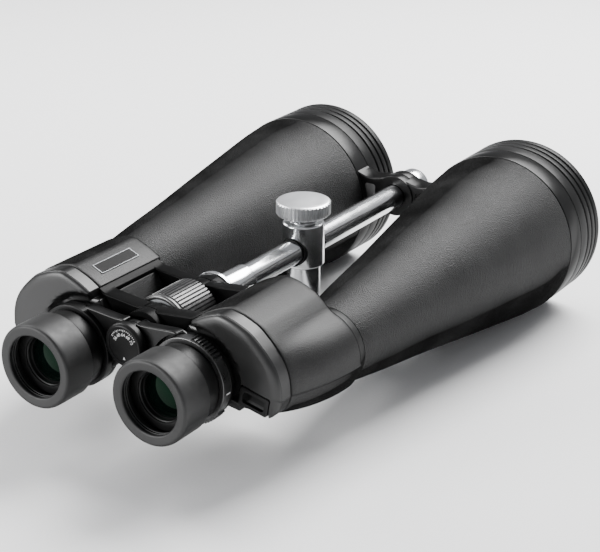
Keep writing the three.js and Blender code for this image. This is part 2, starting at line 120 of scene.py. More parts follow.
def inset(outline, amount):
    """The outline moved inwards by an amount, for one drawn anticlockwise."""
    count = len(outline)
    result = []
    for i in range(count):
        here = Vector(outline[i])
        into = (here - Vector(outline[i - 1]))
        out = (Vector(outline[(i + 1) % count]) - here)
        if into.length < 1e-6 or out.length < 1e-6:
            into = out = into if into.length > out.length else out
        into, out = into.normalized(), out.normalized()
        normal = Vector((-into.y - out.y, into.x + out.x))
        if normal.length < 1e-6:
            normal = Vector((-into.y, into.x))
        normal.normalize()
        spread = max(0.5, normal.dot(Vector((-into.y, into.x))))
        result.append(tuple(here + normal * (amount / spread)))
    return result


def anticlockwise(outline):
    """The outline turned round if it runs clockwise."""
    area = sum(a[0] * b[1] - b[0] * a[1] for a, b in zip(outline, [*outline[1:], outline[0]]))
    return outline if area > 0 else outline[::-1]


def arc(middle, radius, start, end, count):
    """Points [x, z] on an arc, from one angle in degrees to another."""
    angles = [math.radians(blend(start, end, i / (count - 1))) for i in range(count)]
    return [(middle[0] + radius * math.cos(a), middle[1] + radius * math.sin(a)) for a in angles]


# ---- solids: lists of points and faces in the hinge frame -------------------------------------
def lathe(profile, axis=HINGE, segments=96, shape=None, upright=False):
    """Turns (radius, y) points about a line along Y, or (radius, z) points about the post's line.

    The profile runs from axis to axis or is a closed ring. shape(angle, radius, y) can change a
    point's radius, for ribs.
    """
    points, faces = [], []
    for radius, along in (p[:2] for p in profile):
        for k in range(segments):
            angle = 2 * math.pi * k / segments
            r = shape(angle, radius, along) if shape else radius
            if upright:
                points.append((r * math.cos(angle), POST_Y + r * math.sin(angle), along))
            else:
                points.append((axis[0] + r * math.cos(angle), along, axis[1] + r * math.sin(angle)))
    rows = len(profile)
    on_axis = profile[0][0] < 1e-6 and profile[-1][0] < 1e-6
    for row in range(rows - 1 if on_axis else rows):
        low, high = row * segments, ((row + 1) % rows) * segments
        for k in range(segments):
            n = (k + 1) % segments
            faces.append((low + k, low + n, high + n, high + k))
    return points, faces


def loft(sections, looped=False):
    """Joins sections, lists of as many (x, y, z) points each, and caps the ends unless looped."""
    count = len(sections[0])
    points = [p for section in sections for p in section]
    rows = len(sections)
    faces = []
    for row in range(rows if looped else rows - 1):
        low, high = row * count, ((row + 1) % rows) * count
        for k in range(count):
            n = (k + 1) % count
            faces.append((low + k, low + n, high + n, high + k))
    if not looped:
        faces += [tuple(range(count)), tuple(range((rows - 1) * count, rows * count))]
    return points, faces


BEVEL_STEPS = 3


def slab(outline, rear, front, bevel=0.5, corner=1.2):
    """An [x, z] outline carried along Y, with its corners and both its edges rounded."""
    flat = anticlockwise(rounded(outline, corner, 4))
    if bevel <= 0:
        return loft([[(x, y, z) for x, z in flat] for y in (rear, front)])
    turns = [math.pi / 2 * k / BEVEL_STEPS for k in range(BEVEL_STEPS + 1)]
    rear_half = [(rear + bevel * (1 - math.cos(turn)), bevel * (1 - math.sin(turn))) for turn in turns]
    front_half = [(rear + front - y, amount) for y, amount in rear_half[::-1]]
    sections = [[(x, y, z) for x, z in inset(flat, amount)] for y, amount in rear_half + front_half]
    return loft(sections)


def washer(inner, outer, rear, front, axis=HINGE, segments=96, bevel=0.3):
    """A ring with rounded edges, or a disc where inner is 0."""
    if inner > 0:
        ring = rounded([(inner, rear), (outer, rear), (outer, front), (inner, front)], bevel)
        return lathe(ring, axis, segments)
    disc = rounded([(0, rear), (outer, rear), (outer, front), (0, front)], bevel, closed=False)
    return lathe(disc, axis, segments)


def upright_lathe(profile, segments=96, shape=None):
    return lathe(profile, segments=segments, shape=shape, upright=True)


def moved(solid, change):
    """The solid with change(x, y, z) applied to each of its points."""
    points, faces = solid
    return [tuple(change(*p)) for p in points], faces


def mirrored(solid, side):
    """The solid itself for the right side (1), or its mirror image for the left side (-1)."""
    if side > 0:
        return solid
    points, faces = solid
    return [(-x, y, z) for x, y, z in points], [face[::-1] for face in faces]


def together(*solids):
    """Several separate solids as one."""
    points, faces = [], []
    for more_points, more_faces in solids:
        start = len(points)
        points += more_points
        faces += [tuple(start + i for i in face) for face in more_faces]
    return points, faces


def mesh_from(name, solid):
    """A mesh in millimetres with its doubled points merged and its faces pointing out."""
    mesh = bpy.data.meshes.new(name)
    mesh.from_pydata([tuple(p) for p in solid[0]], [], [tuple(f) for f in solid[1]])
    work = bmesh.new()
    work.from_mesh(mesh)
    bmesh.ops.remove_doubles(work, verts=work.verts, dist=2e-4)
    bmesh.ops.dissolve_degenerate(work, edges=work.edges, dist=1e-4)
    bmesh.ops.recalc_face_normals(work, faces=work.faces)
    work.to_mesh(mesh)
    work.free()
    return mesh


def boolean(operation, base, *tools):
    """Base with each tool added (UNION) or cut away (DIFFERENCE)."""
    collection = bpy.context.scene.collection
    subject = bpy.data.objects.new("subject", mesh_from("subject", base))
    collection.objects.link(subject)
    helpers = [subject]
    for solid in tools:
        helper = bpy.data.objects.new("tool", mesh_from("tool", solid))
        collection.objects.link(helper)
        helpers.append(helper)
        modifier = subject.modifiers.new("boolean", "BOOLEAN")
        modifier.operation = operation
        modifier.solver = "MANIFOLD"
        modifier.object = helper
    result = subject.evaluated_get(bpy.context.evaluated_depsgraph_get()).to_mesh()
    solid = [tuple(v.co) for v in result.vertices], [tuple(p.vertices) for p in result.polygons]
    for helper in helpers:
        bpy.data.meshes.remove(helper.data)
    return solid


def fuse(base, *more):
    return boolean("UNION", base, *more)


def carve(base, *tools):
    return boolean("DIFFERENCE", base, *tools)


def piece(name, solid, material, body, replaced=(), smooth=32):
    """Makes the solid a mesh in the row's frame that rides on a body and stands for CAD nodes."""
    mesh = mesh_from(name, solid)
    mesh.transform(Matrix.Translation(ORIGIN) @ Matrix.Scale(MM, 4))
    mesh.shade_smooth()
    mesh.set_sharp_from_angle(angle=math.radians(smooth))
    mesh.materials.append(material)
    obj = bpy.data.objects.new(name, mesh)
    bpy.context.scene.collection.objects.link(obj)
    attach(obj, body)
    if replaced:
        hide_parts(*replaced)
    return obj


# ---- materials --------------------------------------------------------------------------------
class Surface:
    """A Principled material whose colour, roughness and bump come from procedural textures."""

    def __init__(self, name, **constants):
        self.material = bpy.data.materials.new(name)
        self.material.use_nodes = True
        self.nodes = self.material.node_tree.nodes
        self.links = self.material.node_tree.links
        self.shader = self.nodes["Principled BSDF"]
        for socket, value in constants.items():
            self.shader.inputs[socket.replace("_", " ")].default_value = value
        self.coordinates = self.nodes.new("ShaderNodeTexCoord").outputs["Object"]

    def stretched(self, scale):
        """Object coordinates stretched along each axis, for textures with a direction."""
        mapping = self.nodes.new("ShaderNodeMapping")
        mapping.inputs["Scale"].default_value = scale
        self.links.new(self.coordinates, mapping.inputs["Vector"])
        return mapping.outputs["Vector"]

    def noise(self, scale, detail=3, roughness=0.55, vector=None):
        texture = self.nodes.new("ShaderNodeTexNoise")
        texture.inputs["Scale"].default_value = scale
        texture.inputs["Detail"].default_value = detail
        texture.inputs["Roughness"].default_value = roughness
        self.links.new(vector or self.coordinates, texture.inputs["Vector"])
        return texture.outputs["Fac"]

    def cells(self, scale):
        """Distance to the middle of the nearest cell: a field of small domes."""
        texture = self.nodes.new("ShaderNodeTexVoronoi")
        texture.inputs["Scale"].default_value = scale
        self.links.new(self.coordinates, texture.inputs["Vector"])
        return texture.outputs["Distance"]

    def span(self, value, low, high, new_low, new_high):
        """The value moved from one range to another, held at the new range's ends."""
        change = self.nodes.new("ShaderNodeMapRange")
        ends = {"From Min": low, "From Max": high, "To Min": new_low, "To Max": new_high}
        for socket, number in ends.items():
            change.inputs[socket].default_value = number
        self.links.new(value, change.inputs["Value"])
        return change.outputs["Result"]

    def math(self, operation, a, b):
        node = self.nodes.new("ShaderNodeMath")
        node.operation = operation
        for socket, value in zip(node.inputs, (a, b)):
            if isinstance(value, (int, float)):
                socket.default_value = value
            else:
                self.links.new(value, socket)
        return node.outputs["Value"]

    def colour(self, value, stops):
        """Base colour from a ramp of (position, colour) stops."""
        ramp = self.nodes.new("ShaderNodeValToRGB")
        elements = ramp.color_ramp.elements
        while len(elements) < len(stops):
            elements.new(0.5)
        for element, (position, shade) in zip(elements, stops):
            element.position = position
            element.color = (*shade, 1)
        self.links.new(value, ramp.inputs["Fac"])
        self.links.new(ramp.outputs["Color"], self.shader.inputs["Base Color"])

    def gloss(self, facing, grazing):
        """Specular level facing the viewer and, lower, at a grazing angle, as dusty rubber has."""
        weight = self.nodes.new("ShaderNodeLayerWeight")
        weight.inputs["Blend"].default_value = 0.5
        level = self.span(weight.outputs["Facing"], 0.3, 0.62, facing, grazing)
        self.links.new(level, self.shader.inputs["Specular IOR Level"])

    def roughness(self, value):
        self.links.new(value, self.shader.inputs["Roughness"])

    def bump(self, height, strength, distance):
        """Adds a bump, distance in millimetres, on top of any bump made before."""
        node = self.nodes.new("ShaderNodeBump")
        node.inputs["Strength"].default_value = strength
        node.inputs["Distance"].default_value = distance * MM
        self.links.new(height, node.inputs["Height"])
        before = self.shader.inputs["Normal"].links
        if before:
            self.links.new(before[0].from_socket, node.inputs["Normal"])
        self.links.new(node.outputs["Normal"], self.shader.inputs["Normal"])


def grey(value, warmth=0.0):
    return (value * (1 + warmth), value, value * (1 - warmth))


def armour_material(name, size, depth, smooth, facing):
    """Grained rubber skin: size in cells a metre, depth in mm.

    smooth is its least roughness and facing its specular level seen head on.
    """
    s = Surface(name)
    s.gloss(facing, 0.0)
    pebbles = s.cells(size)
    fine = s.noise(size * 2.1, 3)
    broad = s.noise(28, 3)
    grain = s.math("ADD", s.math("MULTIPLY", pebbles, 0.8), s.math("MULTIPLY", fine, 0.45))
    s.colour(s.math("ADD", s.math("MULTIPLY", fine, 0.7), s.math("MULTIPLY", broad, 0.3)),
             [(0.38, grey(0.003)), (0.5, grey(0.007)), (0.62, grey(0.03))])
    s.roughness(s.span(s.math("ADD", broad, fine), 0.6, 1.4, smooth, smooth + 0.12))
    s.bump(grain, 0.6, depth)
    return s.material


def satin_material(name, facing):
    """Smooth satin paint with the faintest orange peel; facing as in armour_material."""
    s = Surface(name)
    s.gloss(facing, 0.05)
    peel = s.noise(1400, 2)
    rubbed = s.noise(45, 4, 0.6)
    s.colour(rubbed, [(0.3, grey(0.005)), (0.7, grey(0.010))])
    s.roughness(s.span(rubbed, 0.3, 0.7, 0.33, 0.45))
    s.bump(peel, 0.25, 0.05)
    return s.material


def cast_material(name, facing):
    """Smooth black enamel on cast arms; facing as in armour_material."""
    s = Surface(name)
    s.gloss(facing, 0.02)
    fine = s.noise(1500, 2)
    broad = s.noise(60, 3)
    s.colour(broad, [(0.3, grey(0.003)), (0.7, grey(0.006))])
    s.roughness(s.span(s.math("ADD", fine, broad), 0.6, 1.4, 0.27, 0.4))
    s.bump(fine, 0.12, 0.008)
    return s.material


def soft_rubber_material():
    """Soft rubber with a faint bloom of dust."""
    s = Surface("soft_rubber_skin", Sheen_Weight=0.04, Sheen_Roughness=0.5)
    s.gloss(0.42, 0.1)
    mottle = s.noise(160, 5, 0.7)
    fine = s.noise(2200, 2)
    s.colour(mottle, [(0.3, grey(0.006)), (0.55, grey(0.010)), (0.8, grey(0.016))])
    s.roughness(s.span(mottle, 0.3, 0.7, 0.46, 0.6))
    s.bump(fine, 0.3, 0.06)
    return s.material


def grip_material():
    """Hard moulded rubber of the ribbed rings, polished on its crests."""
    s = Surface("ribbed_rubber")
    s.gloss(0.9, 0.3)
    mottle = s.noise(220, 4, 0.6)
    s.colour(mottle, [(0.3, grey(0.012)), (0.75, grey(0.03))])
    s.roughness(s.span(mottle, 0.3, 0.7, 0.26, 0.38))
    s.bump(s.noise(2400, 2), 0.2, 0.03)
    return s.material


def metal_material(name, shade, scale, low, high, bump=0.12):
    """Turned bright metal: fine tool marks along one direction and a few hairlines."""
    s = Surface(name, Metallic=1.0, Specular_IOR_Level=0.5)
    marks = s.noise(1, 4, 0.7, s.stretched(scale))
    smudge = s.noise(55, 3)
    s.colour(s.math("ADD", s.math("MULTIPLY", marks, 0.5), s.math("MULTIPLY", smudge, 0.5)),
             [(0.3, tuple(c * 0.86 for c in shade)), (0.65, shade)])
    s.roughness(s.span(s.math("ADD", marks, smudge), 0.6, 1.4, low, high))
    s.bump(marks, bump, 0.004)
    return s.material


def glass_material(name, tint, base):
    """Dark coated lens: clear hard surface over a deep dark body."""
    s = Surface(name, IOR=1.45, Specular_IOR_Level=0.12, Specular_Tint=(*tint, 1))
    haze = s.noise(30, 2)
    dust = s.noise(2600, 3, 0.8)
    s.colour(haze, [(0.2, base), (0.8, tuple(c * 2.2 for c in base))])
    s.roughness(s.span(s.math("ADD", haze, dust), 0.7, 1.5, 0.01, 0.06))
    return s.material


def prism_material():
    """Clear prism glass with ground sides."""
    s = Surface("prism_glass_body", IOR=1.57, Transmission_Weight=0.9)
    haze = s.noise(60, 2)
    s.colour(haze, [(0.2, (0.82, 0.88, 0.86)), (0.8, (0.9, 0.94, 0.93))])
    s.roughness(s.span(haze, 0.3, 0.7, 0.02, 0.08))
    return s.material


def ink_material():
    """White filled engraving."""
    s = Surface("white_ink", Specular_IOR_Level=0.35)
    worn = s.noise(700, 3)
    s.colour(worn, [(0.25, grey(0.55)), (0.6, grey(0.78))])
    s.roughness(s.span(worn, 0.3, 0.7, 0.4, 0.6))
    return s.material


BRIGHT_SHADE = (0.78, 0.79, 0.8)
ARMOUR = armour_material("armour_grained", 1500, 0.5, 0.36, 0.25)
ARMOUR_FINE = armour_material("armour_smooth", 1700, 0.18, 0.38, 0.32)
SATIN = satin_material("satin_black_paint", 0.2)
COVER_PAINT = satin_material("cover_paint", 0.5)
CAST = cast_material("black_enamel", 0.3)
FRAME_BLACK = cast_material("frame_black", 0.04)
SOFT = soft_rubber_material()
GRIP = grip_material()
CHROME = metal_material("chrome_rod", BRIGHT_SHADE, (60, 2600, 60), 0.12, 0.2, 0.05)
CHROME_POST = metal_material("chrome_post", BRIGHT_SHADE, (60, 60, 2600), 0.14, 0.22, 0.05)
KNOB_METAL = metal_material("knob_metal", (0.9, 0.91, 0.92), (30, 30, 500), 0.3, 0.4, 0.04)
STEEL = metal_material("plain_steel", (0.5, 0.51, 0.53), (60, 2000, 60), 0.25, 0.4)
BRASS = metal_material("brass", (0.6, 0.44, 0.2), (60, 60, 2200), 0.2, 0.35)
BRACKET = metal_material("bracket_alloy", (0.3, 0.31, 0.32), (900, 900, 900), 0.35, 0.55)
LENS = glass_material("coated_lens", (0.25, 1.0, 0.5), (0.0006, 0.0016, 0.0012))
PRISM = prism_material()
INK = ink_material()

KEPT_NODES = {"hinge_shaft": STEEL, "clamp_screw": STEEL, "clamp_shoe": BRASS}
for side_name, _ in SIDES:
    KEPT_NODES.update({f"{side_name}_rear_prism": PRISM, f"{side_name}_front_prism": PRISM,
                       f"{side_name}_prism_shelf": BRACKET, f"{side_name}_field_lens": LENS})


# ---- objective barrels ------------------------------------------------------------------------
BARREL_FLARE = [(20.9, 65.2), (24.4, 87), (26.4, 100), (30.6, 130), (35.4, 160), (38.6, 180), (42.5, 205),
                (44.7, 219), (46.6, 232), (47.9, 244), (48.2, 247)]


BARREL_WALL = 2.2


def barrel():
    """The flared tube between the housing's collar and the front bridge."""
    outer = spline(BARREL_FLARE, 6)
    outer = [(20.2, 65.2), (20.7, 65.35), *outer[1:-1], (48.0, 246.8), (47.4, 247.0)]
    inner = [(r - BARREL_WALL, y) for r, y in [outer[-1], *spline(BARREL_FLARE[::-1], 1)[1:-1], outer[0]]]
    return lathe([*outer, *inner], OBJECTIVE, 144)


GROOVES_Y = (270.0, 275.6, 280.6)
BAFFLES = 7


def cell():
    """The objective cell: three grooves outside and fine baffle rings inside the mouth."""
    grooves = []
    for y in GROOVES_Y:
        grooves += [(48.5, y - 0.9, 0.2), (47.4, y - 0.55, 0.25),
                    (47.4, y + 0.55, 0.25), (48.5, y + 0.9, 0.2)]
    baffles = []
    for k in range(BAFFLES):
        y, taper = 285.0 - 1.4 * k, 0.12 * k
        baffles += [(44.5 - taper, y, 0.1), (44.0 - taper, y - 0.5, 0.1), (44.45 - taper, y - 0.9, 0.1)]
    profile = [(39.6, CELL_Y), (48.4, CELL_Y, 0.4), *grooves, (RIM_R, FRONT_RIM_Y - 1.5, 0.9),
               (RIM_R - 1.3, FRONT_RIM_Y, 0.9), (45.4, FRONT_RIM_Y, 0.6), (44.7, 286.0, 0.3), *baffles,
               (43.5, 274.2), (41.9, 274.2), (41.9, 264), (39.6, 264)]
    return lathe(rounded(profile, 0.2), OBJECTIVE, 144)


LENS_R = 41.5


def objective_lens():
    """A lens with a domed front face, drawn over an arc of 1.2 radians."""
    arc_angle, crown_y, crown_height, steps = 1.2, 277.9, 3.9, 16
    front = []
    for k in range(steps + 1):
        turn = arc_angle * k / steps
        drop = crown_height * (1 - math.cos(turn)) / (1 - math.cos(arc_angle))
        front.append((LENS_R * math.sin(turn) / math.sin(arc_angle), crown_y - drop))
    return lathe([(0, 265.6), (22, 265.2), (LENS_R, 264.3), *front[::-1]], OBJECTIVE, 96)


def lens_retainer():
    """The threaded ring in front of the lens, with two spanner notches."""
    ring = lathe(rounded([(40, 274.8), (43.2, 274.8), (43.2, 277.6), (41.2, 277.6), (40, 276.6)], 0.25),
                 OBJECTIVE, 120)
    notches = [slab([(OBJECTIVE[0] + a * 38, -12.3), (OBJECTIVE[0] + a * 43.9, -12.3),
                     (OBJECTIVE[0] + a * 43.9, -10.3), (OBJECTIVE[0] + a * 38, -10.3)], 276.6, 279, 0, 0.2)
               for a in (1, -1)]
    return carve(ring, *notches)


FRONT_KNUCKLES = {"left": (247.6, 254.2), "right": (254.5, 261.1)}
FRONT_ARM = [(2, 12.3), (10, 9.5, 4), (17, 8.2, 4), (24, 9.6, 4), (30, 13), (34, 12), (26, -26), (21, -24),
             (14, -11, 5), (6, -10.6, 5)]


def front_bridge(name):
    """The band round the barrel's front, its web and its knuckle on the centre rod."""
    own, other = FRONT_KNUCKLES[name], FRONT_KNUCKLES["left" if name == "right" else "right"]
    web = carve(slab(FRONT_ARM, 248.4, 261.3, 0.8, 1.5),
                slab([(13.6, 4.6), (21, 4.6), (18.6, -8), (14.4, -6.5)], 240, 270, 0, 2),
                washer(0, 46.6, 240, 270, OBJECTIVE, 144, 0),
                washer(0, 49.1, RING_Y[1], 270, OBJECTIVE, 144, 0),
                washer(0, KNUCKLE_R + GAP, other[0] - GAP, other[1] + GAP, bevel=0))
    band = washer(44.6, 48.4, *RING_Y, OBJECTIVE, 144, 0.5)
    knuckle = washer(5, KNUCKLE_R, *own, HINGE, 96, 0.5)
    return carve(fuse(web, band, knuckle), washer(0, ROD_R + GAP, 240, 270, bevel=0))


# ---- prism housings ---------------------------------------------------------------------------
FRONT_CIRCLE, REAR_CIRCLE = 22.7, 14.0
TOP_SIDE = [(27, 12), (31.1, 12), (31.1, 16.4), (36.8, 19.9), (43.4, 22.7), (48.1, 24.3), (55, 23.2),
            (61.5, 20.7), (66, 18.6), (70.5, 14.6)]
INNER_SIDE = [(45, -35), (34, -34.6), (26.5, -32), (20.8, -26), (18, -18), (17.6, -9), (19.4, -1.5),
              (22.4, 4)]
CRISP = {0: 0.3, 1: 0.4, 2: 0.5}        # corner radii of the first outline points
SEAM_ANGLES = (-4.6, -6.0, -7.4)        # the parting line on the outer side, a slight ridge


def circle_radius(y):
    """Radius of the housing's lower and outer side at one y."""
    back = max(0.0, (HOUSING_Y[1] - y) / (HOUSING_Y[1] - HOUSING_Y[0]))
    return FRONT_CIRCLE - (FRONT_CIRCLE - REAR_CIRCLE) * back ** 1.9


def housing_section(y, shrink=0.0):
    """The rounded outline [x, z] of the housing at one y, shrunk about its middle."""
    radius = circle_radius(y)
    grown = (radius - REAR_CIRCLE) / (FRONT_CIRCLE - REAR_CIRCLE)
    outer = []
    for angle in sorted([78 - 16.8 * i for i in range(11) if i != 5] + list(SEAM_ANGLES), reverse=True):
        straight = 13.9 + 9 * (max(0.0, angle + 3) / 81) ** 2.1
        reach = blend(straight, FRONT_CIRCLE, grown) if angle > -3 else radius
        ridge = 0.28 if angle == SEAM_ANGLES[1] else 0.0
        turn = math.radians(angle)
        outer.append((OBJECTIVE[0] + (reach + ridge) * math.cos(turn),
                      OBJECTIVE[1] + (reach + ridge) * math.sin(turn), 0.2 if angle in SEAM_ANGLES else 9))
    lower, axis_z = radius / FRONT_CIRCLE, OBJECTIVE[1]
    inner = [(x, axis_z + (z - axis_z) * lower if z < axis_z else z, 9) for x, z in INNER_SIDE]
    top = [(x, z, CRISP.get(i, 9)) for i, (x, z) in enumerate(TOP_SIDE)]
    points = [(52 + (x - 52) * (1 - shrink / 31), -4 + (z + 4) * (1 - shrink / 25), r)
              for x, z, r in [*top, *outer, *inner]]
    return rounded(points, 9, 4)


def housing():
    """The prism housing with the barrel's collar and the room for the eyepiece's tube."""
    rear, front = HOUSING_Y
    rows = [(rear, 0.45), (rear + 0.15, 0.15), (rear + 0.45, 0.0)]
    rows += [(blend(rear + 0.45, front - 2.2, k / 22), 0.0) for k in range(1, 23)]
    rows += [(front - 2.2 * (1 - math.sin(a)), 2.0 * (1 - math.cos(a))) for a in (0.4, 0.8, 1.2, math.pi / 2)]
    body = loft([[(x, y, z) for x, z in housing_section(y, shrink)] for y, shrink in rows])
    collar = lathe(rounded([(0, front - 3), (20.9, front - 3), (20.9, COLLAR_Y, 0.5), (0, COLLAR_Y)], 0.3,
                           closed=False), OBJECTIVE, 144)
    tube_room = washer(0, 13.4, rear - 1, 17.5, OCULAR, 96, 0)
    return carve(fuse(body, collar), tube_room)


def dish(x, z):
    """How far the cover's rear face lies below its crest, around the eyepiece."""
    reach = math.hypot(x - OCULAR[0], z - OCULAR[1])
    return 4.1 * (1 - smoothstep((reach - 22.4) / 3.7)) + 0.7 * (1 - smoothstep((reach - 23) / 16))


LUG = {"x": 68.4, "z": -15.6, "tilt": math.radians(12), "half": 8.2, "rise": 4.9, "rear": 0.0, "front": 8.2}


def in_lug_frame(solid):
    """Turns a solid drawn about the lug's middle into its place on the right side."""
    c, s = math.cos(LUG["tilt"]), math.sin(LUG["tilt"])
    return moved(solid, lambda x, y, z: (LUG["x"] + x * c + z * s, y, LUG["z"] - x * s + z * c))


def lug_block(grow, rear, front, corner=1.0, bevel=0.0, drop=0.0):
    """The lug's outline grown all round, and dropped further below, carried along Y."""
    half, rise = LUG["half"] + grow, LUG["rise"] + grow
    outline = [(-half, -rise - drop), (half, -rise - drop), (half, rise), (-half, rise)]
    return in_lug_frame(slab(outline, rear, front, bevel, corner))


def cover():
    """A ring of sections: front face, outer band, crest, dished rear face and the tube's hole."""
    seam, crest = COVER_Y[1], COVER_Y[0]
    hole, crest_start, crest_steps, inset_start, inset_end = 12.9, 2.5, 8, 0.5, 5.2
    dish_steps = 18

    def at(y, shrink):
        section = housing_section(HOUSING_Y[0], shrink)
        depth = seam - crest
        return [(x, seam - (seam - y) * (depth - dish(x, z)) / depth, z) for x, z in section]

    band = [(seam, 1.1), (seam - 0.15, 0.7), (seam - 0.5, 0.45)]
    band += [(blend(seam - 0.5, 2.9, k / 6), 0.42) for k in range(1, 7)]
    band += [(2.75, 0.62), (2.6, 0.62)]
    for k in range(crest_steps + 1):
        turn = math.pi / 2 * k / crest_steps
        band.append((crest_start - (crest_start - crest) * math.sin(turn),
                     inset_start + (inset_end - inset_start) * (1 - math.cos(turn))))
    sections = [at(y, shrink) for y, shrink in band]
    edge = housing_section(HOUSING_Y[0], inset_end)
    round_hole = []
    for x, z in edge:
        turn = math.atan2(z - OCULAR[1], x - OCULAR[0])
        round_hole.append((OCULAR[0] + hole * math.cos(turn), OCULAR[1] + hole * math.sin(turn)))
    for k in range(1, dish_steps + 1):
        t = k / dish_steps
        mixed = [(blend(a[0], b[0], t), blend(a[1], b[1], t)) for a, b in zip(edge, round_hole)]
        sections.append([(x, crest + dish(x, z), z) for x, z in mixed])
    sections.append([(x, seam, z) for x, z in round_hole])
    shell = loft(sections, looped=True)
    pocket = lug_block(GAP + 0.35, -3, LUG["front"] + GAP, 1.4, 0, 12)
    return carve(shell, pocket)


def strap_lug():
    """A framed block with a strap bar across its slot."""
    block = lug_block(0, LUG["rear"], LUG["front"], 1.3, 0.5)
    slot = in_lug_frame(slab([(-6.2, -3), (6.2, -3), (6.2, 3), (-6.2, 3)], -2, 6.8, 0, 1.6))
    under = in_lug_frame(slab([(-6.2, -20), (6.2, -20), (6.2, 0), (-6.2, 0)], 2.2, 6.8, 0, 0.4))
    return carve(block, slot, under)


# ---- folding hinge ----------------------------------------------------------------------------
REAR_KNUCKLES = {"left": (4.6, 11.2), "right": (11.5, 17.9)}
MID_KNUCKLES = {"left": (49.2, 55.6), "right": (55.9, 62.4)}
HINGE_ARM = [(2, 12.2), (7, 12, 3), (27.3, 14.1, 2), (30.8, 16.1, 0.5), (30.8, 12.3), (26.8, 12.3, 0.5),
             (20.8, 4, 4), (17.4, -3, 4), (12.6, -7, 4), (3, -11.6)]


def hinge_frame(name):
    """Two arms and the rail let into the housing's edge, with a knuckle on each arm."""
    other = "left" if name == "right" else "right"
    rail = slab([(27.3, 12.3), (30.8, 12.3), (30.8, 16.1), (27.3, 14.1)], 9.6, 56.4, 0.2, 0.4)
    arms = [slab(HINGE_ARM, 9, 18, 0.7, 1.2), slab(HINGE_ARM, 49.2, 57, 0.7, 1.2)]
    rooms = [washer(0, KNUCKLE_R + GAP, y[0] - GAP, y[1] + GAP, bevel=0)
             for y in (REAR_KNUCKLES[other], MID_KNUCKLES[other])]
    knuckles = [washer(5, KNUCKLE_R, *y, HINGE, 96, 0.5) for y in (REAR_KNUCKLES[name], MID_KNUCKLES[name])]
    body = fuse(carve(fuse(rail, *arms), *rooms), *knuckles)
    bores = [washer(0, 7.3, 0, 30, bevel=0), washer(0, 7.3, 40, 70, bevel=0)]
    return carve(body, *bores, washer(0, 9.6, 0, 7.4, bevel=0))


def center_rod():
    """The bright rod, thicker just in front of the hinge."""
    profile = [(0, 56.8), (3.9, 56.8), (3.9, 49.2), (ROD_R, 49.2), (ROD_R, 65.8), (8.3, 65.8, 0.3),
               (8.3, 90, 0.4), (ROD_R, 91, 0.4), (ROD_R, 267.8), (6.5, 268.3), (0, 268.3)]
    return lathe(rounded(profile, 0.2, closed=False), HINGE, 96)


CAP_R = 10.8


def rod_end_cap():
    """A domed cap over the rod's front end, with a fine groove round it."""
    dome_y, dome_height, steps = 271.4, 6.0, 12
    turns = [math.pi / 2 * k / steps for k in range(1, steps + 1)]
    dome = [(CAP_R * math.cos(turn), dome_y + dome_height * math.sin(turn)) for turn in turns]
    dome[-1] = (0, dome_y + dome_height)
    profile = rounded([(0, 268.8), (7.3, 268.8), (7.3, 262.6), (CAP_R, 262.6, 0.5), (CAP_R, 263.9, 0.2),
                       (10.5, 264.2, 0.2), (CAP_R, 264.5, 0.2), (CAP_R, dome_y)], 0.2, closed=False)
    return lathe([*profile, *dome], HINGE, 96)


# ---- centre focus -----------------------------------------------------------------------------
def ribs(count, depth, share, only=None):
    """A lathe's shape function: grooves of a depth between ribs, on the radii that only allows."""
    def shape(angle, radius, along):
        if only and not only(radius, along):
            return radius
        phase = (angle * count / (2 * math.pi)) % 1.0
        edge = 0.16     # share of the pitch that a rib's flank takes
        wave = smoothstep((phase - share) / edge) * (1 - smoothstep((phase - 1 + edge) / edge))
        return radius - depth * wave
    return shape


WHEEL_RIBS = 48


def wheel_grip():
    """The ribbed rubber tyre with a double lip at its rear."""
    profile = rounded([(13.5, 19.2), (14.6, 19.2, 0.4), (15.5, 19.8, 0.4), (15.5, 21.3, 0.3),
                       (14.9, 21.6, 0.2), (15.0, 21.9, 0.2), (15.5, 22.3, 0.3), (15.5, 45.6, 0.6),
                       (14.7, 46.5, 0.5), (13.5, 46.5)], 0.25)
    return lathe(profile, HINGE, WHEEL_RIBS * 8,
                 ribs(WHEEL_RIBS, 0.85, 0.52, lambda r, y: 22.2 < y < 46.4 and r > 14))


def wheel_core():
    profile = rounded([(5.9, 19.4), (13.2, 19.4), (13.2, 46.3), (12.0, 46.3), (11.6, 45.6), (7.4, 45.6),
                       (7.0, 46.3), (5.9, 46.3)], 0.2)
    return lathe(profile, HINGE, 96)


CAP_FACE_Y = -10.2


def hinge_cap():
    """The cap at the hinge's rear, with a shallow rim round its printed face."""
    profile = rounded([(0, CAP_FACE_Y), (8.6, CAP_FACE_Y, 0.1), (8.9, -10.9, 0.15), (10.2, -11, 0.5),
                       (11.4, -9.6, 0.6), (11.4, -6.6, 0.3), (10.9, -5.8, 0.3), (5.9, -5.8), (5.9, -6.6),
                       (0, -6.6)], 0.15, closed=False)
    return lathe(profile, HINGE, 96)


def on_cap(solid):
    """Moves a solid drawn in x and z at y = 0, printed height forwards, to the cap's face."""
    return moved(solid, lambda x, y, z: (x, CAP_FACE_Y - 0.05 + y, z))


